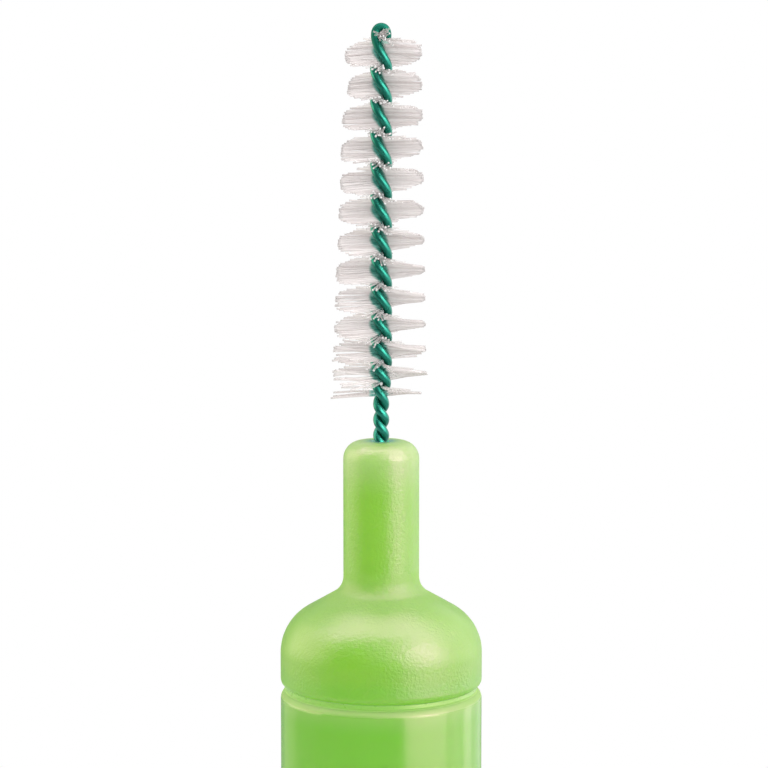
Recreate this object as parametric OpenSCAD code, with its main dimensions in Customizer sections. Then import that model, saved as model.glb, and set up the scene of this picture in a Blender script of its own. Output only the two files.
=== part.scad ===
// Interdental brush that stands on its tail: a round barrel and a click-off head with a twisted-in-wire brush.
// Millimetres, +Z up, origin at the centre of the flat tail.

/* [Handle] */
// Height of the line where the head meets the barrel
handle_h = 48; // [40:0.5:60]
// Diameter of the barrel and of the head's skirt
barrel_d = 8; // [7:0.1:9]
// Radius of the rounding on the barrel's edges
barrel_edge_r = 0.35; // [0.15:0.05:0.5]
// Diameter of the hollow in the lower barrel
cavity_d = 5.6; // [4.8:0.1:6]
// Thickness of the web between the click socket and the hollow
web_t = 1.2; // [0.8:0.1:2]
// Number of rounded grip grooves round the barrel
grip_n = 7; // [0:1:9]
// Distance from one grip groove to the next
grip_pitch = 2.2; // [1.8:0.1:2.4]
// Depth of a grip groove
grip_depth = 0.2; // [0.1:0.05:0.3]
// Radius of a grip groove's section
grip_r = 0.8; // [0.6:0.1:1]
// Height of the lowest grip groove
grip_z = 17; // [14:0.5:20]

/* [Tail plug] */
// Height of the plug's foot, below the barrel
foot_h = 2.6; // [2:0.1:4]
// Radius of the rounding between the foot's side and its flat
foot_edge_r = 0.8; // [0.4:0.1:1.2]
// Length of the spigot inside the barrel
spigot_h = 5; // [3:0.5:7]
// Wall of the hollow spigot
spigot_wall = 0.8; // [0.6:0.1:1.2]
// Radial clearance of the spigot in the barrel
spigot_clear = 0.03; // [0.02:0.01:0.06]

/* [Head shell] */
// Height of the neck's top above the meeting line
neck_top_h = 9.85; // [9:0.05:12]
// Diameter of the neck
neck_d = 3; // [2.8:0.05:3.4]
// Radius of the rounding at the neck's top
neck_edge_r = 0.7; // [0.4:0.05:0.9]
// Radius of the hollow curve between neck and shoulder
cove_r = 0.8; // [0.5:0.05:1]
// Slope of the shoulder below the hollow curve, in degrees
shoulder_slope = 30; // [24:1:34]
// Radius of the round between shoulder and skirt
shoulder_r = 2; // [1.6:0.05:2.1]
// Height of the straight skirt's top above the meeting line
skirt_h = 1.4; // [1.1:0.05:1.8]
// Radius of the rounding on the skirt's lower edge
skirt_edge_r = 0.3; // [0.15:0.05:0.4]

/* [Head core] */
// Height of the collar that shows between skirt and barrel
collar_h = 0.14; // [0.1:0.01:0.4]
// Depth of the collar's side below the skirt
collar_depth = 0.2; // [0.1:0.05:0.3]
// Diameter of the boss inside the skirt
boss_d = 5.2; // [4.8:0.1:5.6]
// Height of the boss above the collar
boss_h = 1.9; // [1.7:0.1:2.1]
// Height of the lock groove round the boss
lock_h = 0.8; // [0.6:0.05:1]
// Depth of the lock groove round the boss
lock_depth = 0.25; // [0.15:0.05:0.25]
// Diameter of the stem inside the neck
stem_d = 1.8; // [1.6:0.05:1.9]
// Thickness of the shell over the stem's end
stem_cover = 1; // [0.8:0.05:1.4]
// Gap between the shell and the core
shell_gap = 0.02; // [0.01:0.01:0.04]

/* [Click joint] */
// Diameter of the peg
peg_d = 4.6; // [4:0.1:5]
// Length of the peg
peg_h = 7; // [5:0.5:9]
// Radial clearance of the peg in its socket
peg_clear = 0.05; // [0.03:0.01:0.08]
// Distance between the peg's two flats
peg_flats = 4; // [3.6:0.05:4.2]
// Chamfer on the peg's nose
peg_nose = 0.6; // [0.3:0.05:0.8]
// Height of the click bead above the peg's end
bead_z = 1.9; // [1.6:0.1:2.4]
// Radius of the click bead's section
bead_r = 0.4; // [0.3:0.05:0.5]
// How far the click bead stands out of the peg
bead_out = 0.03; // [0.02:0.005:0.03]
// Depth of the click groove in the socket
click_depth = 0.2; // [0.1:0.05:0.3]
// Gap under the collar when the head is clicked on
seat_gap = 0.02; // [0.01:0.01:0.04]
// Gap under the peg's end
peg_end_gap = 0.6; // [0.4:0.1:1.2]

/* [Wire] */
// Diameter of the wire
wire_d = 0.31; // [0.28:0.01:0.33]
// Length of bare wire between the neck and the bristles
bare_h = 1.46; // [1:0.02:2.4]
// Straight length of wire between the first half turn and the end loop
loop_straight = 0.12; // [0.08:0.01:0.2]
// Length of a half turn where the bare wire shows
bare_half_turn = 0.62; // [0.6:0.01:0.7]
// Number of half turns below the bristles, in sight and in the head
bare_turns = 10; // [8:1:12]
// Gap between the two legs where the wire is bare
leg_gap = 0.02; // [0.01:0.005:0.03]
// Radial clearance of the wire in the head
wire_clear = 0.03; // [0.02:0.01:0.05]

/* [Bristles] */
// Length of the first half turn, at the tip
tip_half_turn = 1.24; // [1.15:0.01:1.3]
// Length of the last half turn, at the lower end
base_half_turn = 0.78; // [0.76:0.01:0.95]
// Reach of the bristles at the tip, from the wire's axis
tip_reach = 1.52; // [1.3:0.02:1.7]
// Reach of the bristles at the lower end, from the wire's axis
base_reach = 2.02; // [1.8:0.02:2.2]
// Thickness of the band of filaments between the legs
band_t = 0.18; // [0.16:0.01:0.2]
// Width of the band of filaments between the legs
band_w = 0.68; // [0.6:0.01:0.72]
// Height of one layer of filaments
layer_h = 0.066; // [0.062:0.002:0.08]
// Gap between the band and each leg
band_clear = 0.01; // [0.01:0.005:0.02]
// Gap between the bands of two half turns
turn_gap = 0.01; // [0.005:0.005:0.02]

/* [Hidden] */

// Overrun of a cut past the face that it opens
cut_over = 0.5;
// Facets of a full circle and of a small groove's or bead's section
round_fn = 96;
edge_fn = 32;

barrel_r = barrel_d / 2;
cavity_r = cavity_d / 2;
peg_r = peg_d / 2;
socket_r = peg_r + peg_clear;
wire_r = wire_d / 2;
neck_r = neck_d / 2;
bore_r = wire_d + leg_gap / 2 + wire_clear;

// Heights of the collar's two faces, the barrel's top, the socket's floor, the hollow's top and the peg's end
collar_low_z = handle_h - collar_h / 2;
collar_top_z = handle_h + collar_h / 2;
barrel_top_z = collar_low_z - seat_gap;
socket_floor_z = collar_low_z - peg_h - peg_end_gap;
cavity_top_z = socket_floor_z - web_t;
peg_end_z = collar_low_z - peg_h;
neck_top_z = handle_h + neck_top_h;
stem_top_z = neck_top_z - stem_cover;
boss_top_z = collar_top_z + boss_h;

// Points on an arc of radius r round c, from angle a to angle b
function arc(c, r, a, b, n = 12) =
    [for (k = [0:n]) let (t = a + (b - a) * k / n) c + r * [cos(t), sin(t)]];

// The handle: barrel and tail plug

// Outline of the barrel's wall to the right of its axis, solid inside
function barrel_outline() = concat(
    [[0, foot_h]],
    arc([barrel_r - barrel_edge_r, foot_h + barrel_edge_r], barrel_edge_r, -90, 0),
    arc([barrel_r - barrel_edge_r, barrel_top_z - barrel_edge_r], barrel_edge_r, 0, 90),
    [[0, barrel_top_z]]
);

// Peg section: a round with two flats, grown by a clearance
module peg_section(grow = 0) {
    intersection() {
        circle(r = peg_r + grow, $fn = round_fn);
        square([peg_flats + 2 * grow, 2 * (peg_r + grow) + cut_over], center = true);
    }
}

module handle_barrel() {
    grip_axis_r = barrel_r + grip_r - grip_depth;
    click_z = peg_end_z + bead_z;
    color([0.48, 0.74, 0.27])
    difference() {
        rotate_extrude($fn = round_fn) polygon(barrel_outline());
        translate([0, 0, foot_h - cut_over])
            cylinder(r = cavity_r, h = cavity_top_z - foot_h + cut_over, $fn = round_fn);
        translate([0, 0, socket_floor_z])
            linear_extrude(height = barrel_top_z - socket_floor_z + cut_over) peg_section(peg_clear);
        // Click groove, which the bead drops into
        rotate_extrude($fn = round_fn)
            translate([socket_r + click_depth - bead_r - bead_out, click_z])
                circle(r = bead_r + bead_out, $fn = edge_fn);
        for (k = [0:1:grip_n - 1])
            translate([0, 0, grip_z + k * grip_pitch])
                rotate_extrude($fn = round_fn) translate([grip_axis_r, 0]) circle(r = grip_r, $fn = edge_fn);
    }
}

module tail_plug() {
    spigot_r = cavity_r - spigot_clear;
    color([0.48, 0.74, 0.27])
    difference() {
        rotate_extrude($fn = round_fn) polygon(concat(
            [[0, 0]],
            arc([barrel_r - foot_edge_r, foot_edge_r], foot_edge_r, -90, 0),
            arc([barrel_r - barrel_edge_r, foot_h - barrel_edge_r], barrel_edge_r, 0, 90),
            [[spigot_r, foot_h], [spigot_r, foot_h + spigot_h - barrel_edge_r],
             [spigot_r - barrel_edge_r, foot_h + spigot_h], [0, foot_h + spigot_h]]
        ));
        translate([0, 0, foot_h])
            cylinder(r = spigot_r - spigot_wall, h = spigot_h + cut_over, $fn = round_fn);
    }
}

// The head: core, shell and their shared inner outline

// Outline of the core from inside the collar up, grown by a gap all round; its flanks slope at 45 degrees
function stem_outline(grow = 0) =
    let (
        boss_r = boss_d / 2,
        lock_r = boss_r - lock_depth,
        stem_r = stem_d / 2,
        lock_mid_z = (collar_top_z + boss_top_z) / 2,
        corner = grow * tan(22.5)
    ) [
        [0, handle_h],
        [boss_r + grow, handle_h],
        [boss_r + grow, lock_mid_z - lock_h / 2 + corner],
        [lock_r + grow, lock_mid_z - lock_h / 2 + lock_depth + corner],
        [lock_r + grow, lock_mid_z + lock_h / 2 - lock_depth - corner],
        [boss_r + grow, lock_mid_z + lock_h / 2 - corner],
        [boss_r + grow, boss_top_z - lock_depth + corner],
        [lock_r + corner, boss_top_z + grow],
        [stem_r + lock_depth + corner, boss_top_z + grow],
        [stem_r + grow, boss_top_z + lock_depth + corner],
        [stem_r + grow, stem_top_z + grow],
        [0, stem_top_z + grow]
    ];

module head_core() {
    collar_r = barrel_r - collar_depth;
    bore_end_z = wire_z(wire_half_turns) - wire_d;
    color([0.66, 0.85, 0.48])
    difference() {
        union() {
            rotate_extrude($fn = round_fn) polygon(stem_outline());
            translate([0, 0, collar_low_z]) cylinder(r = collar_r, h = collar_h, $fn = round_fn);
            intersection() {
                translate([0, 0, peg_end_z])
                    linear_extrude(height = peg_h + collar_h / 2) peg_section();
                rotate_extrude($fn = round_fn) polygon([
                    [0, peg_end_z], [peg_r - peg_nose, peg_end_z], [peg_r, peg_end_z + peg_nose],
                    [peg_r, collar_top_z], [0, collar_top_z]
                ]);
            }
            // Click bead: two arcs, one on each round side of the peg
            intersection() {
                translate([0, 0, peg_end_z + bead_z]) rotate_extrude($fn = round_fn)
                    translate([peg_r + bead_out - bead_r, 0]) circle(r = bead_r, $fn = edge_fn);
                translate([0, 0, peg_end_z + bead_z])
                    cube([peg_flats - 2 * bead_r, 2 * peg_d, 2 * bead_r + cut_over], center = true);
            }
        }
        translate([0, 0, bore_end_z]) cylinder(r = bore_r, h = neck_top_z - bore_end_z, $fn = round_fn);
    }
}

// Outline of the shell's outside: skirt, shoulder, slope, hollow curve and neck
function shell_outline() =
    let (
        shoulder_c = [barrel_r - shoulder_r, handle_h + skirt_h],
        across = [sin(shoulder_slope), cos(shoulder_slope)],
        slope_top = shoulder_c + shoulder_r * across,
        cove_x = neck_r + cove_r,
        cove_z = (cove_r + slope_top * across - cove_x * across[0]) / across[1]
    )
    concat(
        [[0, collar_top_z]],
        arc([barrel_r - skirt_edge_r, collar_top_z + skirt_edge_r], skirt_edge_r, -90, 0),
        arc(shoulder_c, shoulder_r, 0, 90 - shoulder_slope, 24),
        arc([cove_x, cove_z], cove_r, 270 - shoulder_slope, 180),
        arc([neck_r - neck_edge_r, neck_top_z - neck_edge_r], neck_edge_r, 0, 90),
        [[0, neck_top_z]]
    );

module head_shell() {
    color([0.60, 0.81, 0.40])
    difference() {
        rotate_extrude($fn = round_fn) polygon(shell_outline());
        rotate_extrude($fn = round_fn) polygon(stem_outline(shell_gap));
        cylinder(r = bore_r, h = neck_top_z + cut_over, $fn = round_fn);
    }
}

// The twist: a left-handed double helix, counted in half turns from the tip down

// Number of half turns that hold bristles, and of all half turns
bristle_turns = 13;
wire_half_turns = bristle_turns + bare_turns;
// How late the half turns grow short, as a power of the share of the brush
shorten_power = 2.6;
// Half turns that the legs take to close on each other below the bristles
closing_turns = 0.6;

leg_open_r = wire_r + band_t / 2 + band_clear;
leg_bare_r = wire_r + leg_gap / 2;

// Length of the half turn number k, where 0 is the one at the tip
function half_turn_len(k) =
    k >= bristle_turns ? bare_half_turn
    : tip_half_turn - (tip_half_turn - base_half_turn) * pow(k / (bristle_turns - 1), shorten_power);

half_turn_lens = [for (k = [0:wire_half_turns]) half_turn_len(k)];

// Sum of the first n lengths
function sum_first(v, n) = n <= 0 ? 0 : v[n - 1] + sum_first(v, n - 1);

twist_top_z = neck_top_z + bare_h + sum_first(half_turn_lens, bristle_turns);
loop_z = twist_top_z + loop_straight;
half_turn_tops = [for (k = [0:wire_half_turns]) twist_top_z - sum_first(half_turn_lens, k)];

// Height and direction of the twist after h half turns
function wire_z(h) = let (k = min(floor(h), wire_half_turns)) half_turn_tops[k] - (h - k) * half_turn_lens[k];
function wire_angle(h) = 90 + 180 * h;

// Distance of a leg's axis from the brush's axis after h half turns
function leg_r(h) =
    let (t = min(max((h - bristle_turns) / closing_turns, 0), 1), s = t * t * (3 - 2 * t))
    leg_open_r + (leg_bare_r - leg_open_r) * s;

// The wire: one hairpin, swept along both legs and round the end loop

rings_per_half_turn = 6;
loop_rings = 6;
wire_sides = 8;

function leg_point(h, side) =
    let (a = wire_angle(h) + 90 * side) [leg_r(h) * cos(a), leg_r(h) * sin(a), wire_z(h)];
function leg_radial(h, side) = let (a = wire_angle(h) + 90 * side) [cos(a), sin(a), 0];

leg_steps = [for (k = [0:wire_half_turns * rings_per_half_turn]) k / rings_per_half_turn];
leg_last = len(leg_steps) - 1;
// Direction across the end loop, from the axis to the first leg
loop_dir = leg_radial(0, 1);

wire_path = concat(
    [for (k = [leg_last:-1:0]) leg_point(leg_steps[k], 1)],
    [for (k = [0:loop_rings])
        let (a = 180 * k / loop_rings)
        leg_open_r * cos(a) * loop_dir + [0, 0, loop_z + leg_open_r * sin(a)]],
    [for (k = [0:leg_last]) leg_point(leg_steps[k], -1)]
);
wire_radials = concat(
    [for (k = [leg_last:-1:0]) leg_radial(leg_steps[k], 1)],
    [for (k = [0:loop_rings]) let (a = 180 * k / loop_rings) cos(a) * loop_dir + [0, 0, sin(a)]],
    [for (k = [0:leg_last]) leg_radial(leg_steps[k], -1)]
);

function unit(v) = v / norm(v);

// Ring of points round the path's point k, square to the path there
function wire_ring(k) =
    let (
        last = len(wire_path) - 1,
        along = unit(wire_path[min(k + 1, last)] - wire_path[max(k - 1, 0)]),
        out = unit(wire_radials[k] - (wire_radials[k] * along) * along),
        side = cross(along, out)
    )
    [for (j = [0:wire_sides - 1])
        let (a = 360 * (j + 0.5) / wire_sides)
        wire_path[k] + wire_r * (cos(a) * out + sin(a) * side)];

// Least distance between the two legs' axes, on points up to a half turn apart
legs_apart = min([for (i = [0:leg_last], j = [i - rings_per_half_turn:i + rings_per_half_turn])
    if (j >= 0 && j <= leg_last) norm(leg_point(leg_steps[i], 1) - leg_point(leg_steps[j], -1))]);
echo(str("least gap between the wire's legs: ", legs_apart - wire_d));

// Two triangles of a four-cornered face
function two(a, b, c, d) = [[a, b, c], [a, c, d]];

module core_wire() {
    rings = len(wire_path);
    points = [for (k = [0:rings - 1]) each wire_ring(k)];
    sides = [for (k = [0:rings - 2], j = [0:wire_sides - 1])
        let (m = (j + 1) % wire_sides)
        each two(k * wire_sides + j, (k + 1) * wire_sides + j, (k + 1) * wire_sides + m, k * wire_sides + m)];
    start_cap = [for (j = [1:wire_sides - 2]) [0, j, j + 1]];
    end_first = (rings - 1) * wire_sides;
    end_cap = [for (j = [1:wire_sides - 2]) [end_first, end_first + j + 1, end_first + j]];
    color([0.05, 0.45, 0.35])
        polyhedron(points, concat(sides, start_cap, end_cap));
}

// The bristles: each half turn is a slice of the twisted band of filaments, whose ends fan out of both edges

// Share of the filaments that each of the last half turns keeps
sparse_shares = [0.8, 0.65, 0.5];
// Size of a filament's tip, as a share of its root
tip_size_share = 0.7;
// Largest change of a filament's reach, as a share of it, and of its direction in degrees
reach_change_share = 0.07;
direction_change = 5;
// The tip's first layers draw in by this share of the reach
crown_share = 0.14;
crown_turns = 0.45;

function keep_share(k) =
    k < bristle_turns - len(sparse_shares) ? 1 : sparse_shares[k - bristle_turns + len(sparse_shares)];

// Reach of the bristles after h half turns
function reach(h) =
    (tip_reach + (base_reach - tip_reach) * h / bristle_turns)
    * (1 - crown_share * pow(max(1 - h / crown_turns, 0), 2));

// Point of the band after h half turns: u along its width, v through its thickness, dz up
function band_point(h, u, v, dz = 0, turn = 0) =
    let (a = wire_angle(h)) [u * cos(a + turn) - v * sin(a), u * sin(a + turn) + v * cos(a), wire_z(h) + dz];

module bristle_turn(k) {
    layers = round((half_turn_lens[k] - turn_gap) / layer_h);
    gap_share = turn_gap / 2 / half_turn_lens[k];
    // Level 0 is the lowest
    function level(j) = k + 1 - gap_share - (1 - 2 * gap_share) * j / layers;
    dice = rands(0, 1, 4 * layers, k + 7);
    // Whether the filament of layer j is there, its column in the band, and the number of a root's corner
    function kept(j) = dice[4 * j] < keep_share(k);
    function column(j) = j % 2;
    function root(j, side, c) = 6 * j + 3 * side + c;
    band = [for (j = [0:layers], side = [0, 1], c = [0:2])
        band_point(level(j), (1 - 2 * side) * band_w / 2, (c - 1) * band_t / 2)];
    tips = [for (j = [0:layers - 1], side = [0, 1])
        let (
            h = (level(j) + level(j + 1)) / 2,
            out = (1 - 2 * side) * reach(h) * (1 - reach_change_share * dice[4 * j + 1 + side]),
            turn = direction_change * (2 * dice[4 * j + 3] - 1),
            mid_v = (column(j) - 0.5) * band_t / 2,
            half_v = tip_size_share * band_t / 4,
            half_z = tip_size_share * (wire_z(level(j + 1)) - wire_z(level(j))) / 2
        )
        each [for (corner = [[-1, 1], [1, 1], [1, -1], [-1, -1]])
            band_point(h, out, mid_v + corner[0] * half_v, corner[1] * half_z, turn)]];
    tips_first = len(band);
    // Corners of a cell on the band's edge, clockwise from outside, where side 1 looks the other way
    function cell(j, side, c) = side == 0
        ? [root(j + 1, 0, c), root(j + 1, 0, c + 1), root(j, 0, c + 1), root(j, 0, c)]
        : [root(j + 1, 1, c + 1), root(j + 1, 1, c), root(j, 1, c), root(j, 1, c + 1)];
    function tip(j, side) =
        let (first = tips_first + 8 * j + 4 * side)
        side == 0 ? [first, first + 1, first + 2, first + 3] : [first + 1, first, first + 3, first + 2];
    edge_faces = [for (j = [0:layers - 1], side = [0, 1], c = [0, 1])
        let (q = cell(j, side, c), t = tip(j, side))
        each kept(j) && c == column(j)
            ? concat(
                [for (m = [0:3]) let (n = (m + 1) % 4) each two(q[m], q[n], t[n], t[m])],
                two(t[0], t[1], t[2], t[3]))
            : two(q[0], q[1], q[2], q[3])];
    broad_faces = [for (j = [0:layers - 1]) each concat(
        two(root(j + 1, 1, 0), root(j + 1, 0, 0), root(j, 0, 0), root(j, 1, 0)),
        two(root(j + 1, 0, 2), root(j + 1, 1, 2), root(j, 1, 2), root(j, 0, 2)))];
    end_faces = concat(
        two(root(layers, 0, 2), root(layers, 0, 1), root(layers, 1, 1), root(layers, 1, 2)),
        two(root(layers, 0, 1), root(layers, 0, 0), root(layers, 1, 0), root(layers, 1, 1)),
        two(root(0, 1, 2), root(0, 1, 1), root(0, 0, 1), root(0, 0, 2)),
        two(root(0, 1, 1), root(0, 1, 0), root(0, 0, 0), root(0, 0, 1)));
    echo(str("strands of half turn ", k + 1, ": ", 2 * len([for (j = [0:layers - 1]) if (kept(j)) j])));
    color([0.85, 0.82, 0.82])
        polyhedron(concat(band, tips), concat(edge_faces, broad_faces, end_faces));
}

handle_barrel();
tail_plug();
head_core();
head_shell();
core_wire();
bristle_turn(0);  // bristle_turn_01
bristle_turn(1);  // bristle_turn_02
bristle_turn(2);  // bristle_turn_03
bristle_turn(3);  // bristle_turn_04
bristle_turn(4);  // bristle_turn_05
bristle_turn(5);  // bristle_turn_06
bristle_turn(6);  // bristle_turn_07
bristle_turn(7);  // bristle_turn_08
bristle_turn(8);  // bristle_turn_09
bristle_turn(9);  // bristle_turn_10
bristle_turn(10);  // bristle_turn_11
bristle_turn(11);  // bristle_turn_12
bristle_turn(12);  // bristle_turn_13
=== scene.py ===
"""An interdental brush: a twisted-in-wire brush on a frosted head, clicked on a round glossy handle."""

import logging
import math
from dataclasses import dataclass, field, replace
from enum import Enum

import bpy
import numpy as np
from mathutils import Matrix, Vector


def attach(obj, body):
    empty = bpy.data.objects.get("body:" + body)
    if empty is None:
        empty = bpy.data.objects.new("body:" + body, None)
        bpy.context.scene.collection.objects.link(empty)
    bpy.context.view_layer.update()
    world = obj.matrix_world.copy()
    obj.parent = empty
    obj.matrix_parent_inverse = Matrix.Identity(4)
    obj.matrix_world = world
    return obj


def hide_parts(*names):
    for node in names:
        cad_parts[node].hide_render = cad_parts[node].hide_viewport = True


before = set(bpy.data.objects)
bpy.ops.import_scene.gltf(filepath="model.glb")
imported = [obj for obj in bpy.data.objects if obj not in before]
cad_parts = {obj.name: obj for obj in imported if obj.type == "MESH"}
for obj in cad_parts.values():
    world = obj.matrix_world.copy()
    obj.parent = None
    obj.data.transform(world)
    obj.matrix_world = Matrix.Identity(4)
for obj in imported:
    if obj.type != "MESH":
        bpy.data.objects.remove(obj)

LOG = logging.getLogger("interdental_brush")

# Metres in a millimetre: shapes are worked out in millimetres, and meshes hold metres
MM = 0.001
# The photograph's side in pixels, and the camera's sensor in millimetres
PHOTO_SIDE = 768
SENSOR = 36.0
# Nearly all of the grain's height lies between these
GRAIN_LOW = 0.3
GRAIN_HIGH = 0.7

Colour = tuple[float, float, float]
WHITE: Colour = (1.0, 1.0, 1.0)
BLACK: Colour = (0.0, 0.0, 0.0)
UP = np.array([0.0, 0.0, 1.0])


class Body(Enum):
    """The two bodies that the pieces ride on."""

    HANDLE = "handle"
    HEAD = "head"


class Slot(Enum):
    """The record's material slots of the pieces that are made here."""

    WIRE = "wire"
    BRISTLE = "bristle"


class LampUse(Enum):
    """What a lamp lights: everything, or only what a glossy surface mirrors."""

    ALL = "all"
    GLOSS = "gloss"


class Mark(Enum):
    """The named values that a mesh's points carry for its material: for a filament its cut end, the rim by
    it, which carries a painted shade, its tone and how nearly it faces front, and for the wire its inner
    side, which carries a painted shade."""

    END = "end"
    RIM = "rim"
    TONE = "tone"
    INNER = "inner"
    FRONT = "front"


class Effect(Enum):
    """The shader node groups that more than one finish uses."""

    GRAIN = "surface_grain"
    CLOUD = "milky_cloud"
    EDGE = "thin_edge"


class SocketKind(Enum):
    """The socket types of a node group."""

    NUMBER = "NodeSocketFloat"
    COLOUR = "NodeSocketColor"


def smooth_step(x: np.ndarray, low: float, high: float) -> np.ndarray:
    """A soft rise from 0 to 1: with t the place of x between low and high, t squared times (3 minus 2 t).

    Args:
        x: the values.
        low: where the rise starts.
        high: where the rise ends.

    Returns:
        The risen values, in the shape of x.
    """
    t = np.clip((x - low) / (high - low), 0.0, 1.0)
    return t * t * (3.0 - 2.0 * t)


# ---- Surfaces ----


@dataclass
class Surface:
    """A mesh in the making: points in millimetres, faces, and values at the points."""

    points: np.ndarray
    faces: list[list[int]]
    marks: dict[Mark, np.ndarray] = field(default_factory=dict)

    def build(self, name: str, material: bpy.types.Material) -> bpy.types.Object:
        """Makes the object at the origin, with its place in its mesh.

        Args:
            name: the piece's name.
            material: its finish.

        Returns:
            The new object, smooth shaded.
        """
        mesh = bpy.data.meshes.new(name)
        mesh.from_pydata((self.points * MM).tolist(), [], self.faces)
        mesh.polygons.foreach_set("use_smooth", np.ones(len(mesh.polygons), bool))
        for mark, values in self.marks.items():
            layer = mesh.attributes.new(mark.value, "FLOAT", "POINT")
            layer.data.foreach_set("value", values.astype(np.float32).ravel())
        mesh.materials.append(material)
        mesh.update()
        piece = bpy.data.objects.new(name, mesh)
        bpy.context.scene.collection.objects.link(piece)
        return piece


def swept_tubes(
    paths: np.ndarray, hints: np.ndarray, radii: np.ndarray, sides: int
) -> tuple[np.ndarray, np.ndarray]:
    """Points of round tubes along many paths at once.

    At each path point the tangent t is the path's own slope, the outward direction o is the hint less its
    part along t, and w is t cross o. A ring's point is the path point plus radius times (cos a times o plus
    sin a times w), for equal steps of a.

    Args:
        paths: tubes by rings by 3.
        hints: tubes by rings by 3, directions that are never along the path.
        radii: tubes by rings.
        sides: points of a ring.

    Returns:
        The points, tubes by rings by sides by 3, and the angle of each ring point, sides long.
    """
    along = np.gradient(paths, axis=1)
    along /= np.linalg.norm(along, axis=-1, keepdims=True)
    out = hints - (hints * along).sum(-1, keepdims=True) * along
    out /= np.linalg.norm(out, axis=-1, keepdims=True)
    across = np.cross(along, out)
    angle = 2.0 * np.pi * np.arange(sides) / sides
    ring = np.cos(angle)[:, None] * out[:, :, None, :] + np.sin(angle)[:, None] * across[:, :, None, :]
    return paths[:, :, None, :] + radii[:, :, None, None] * ring, angle


def tube_faces(tubes: int, rings: int, sides: int) -> list[list[int]]:
    """Faces of closed tubes whose points are counted tube by tube, ring by ring: quads between neighbouring
    rings and one flat cap on each end, all turned outwards.

    Args:
        tubes: number of tubes.
        rings: rings of a tube.
        sides: points of a ring.

    Returns:
        The faces as lists of point numbers.
    """
    number = np.arange(tubes * rings * sides).reshape(tubes, rings, sides)
    turned = np.roll(number, -1, axis=2)
    quads = np.stack([number[:, :-1], turned[:, :-1], turned[:, 1:], number[:, 1:]], axis=-1).reshape(-1, 4)
    caps = np.concatenate([number[:, 0, ::-1], number[:, -1, :]])
    return quads.tolist() + caps.tolist()


# ---- Shader work ----


def rgba(colour: Colour) -> tuple[float, float, float, float]:
    """The colour with full cover."""
    return (*colour, 1.0)


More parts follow.
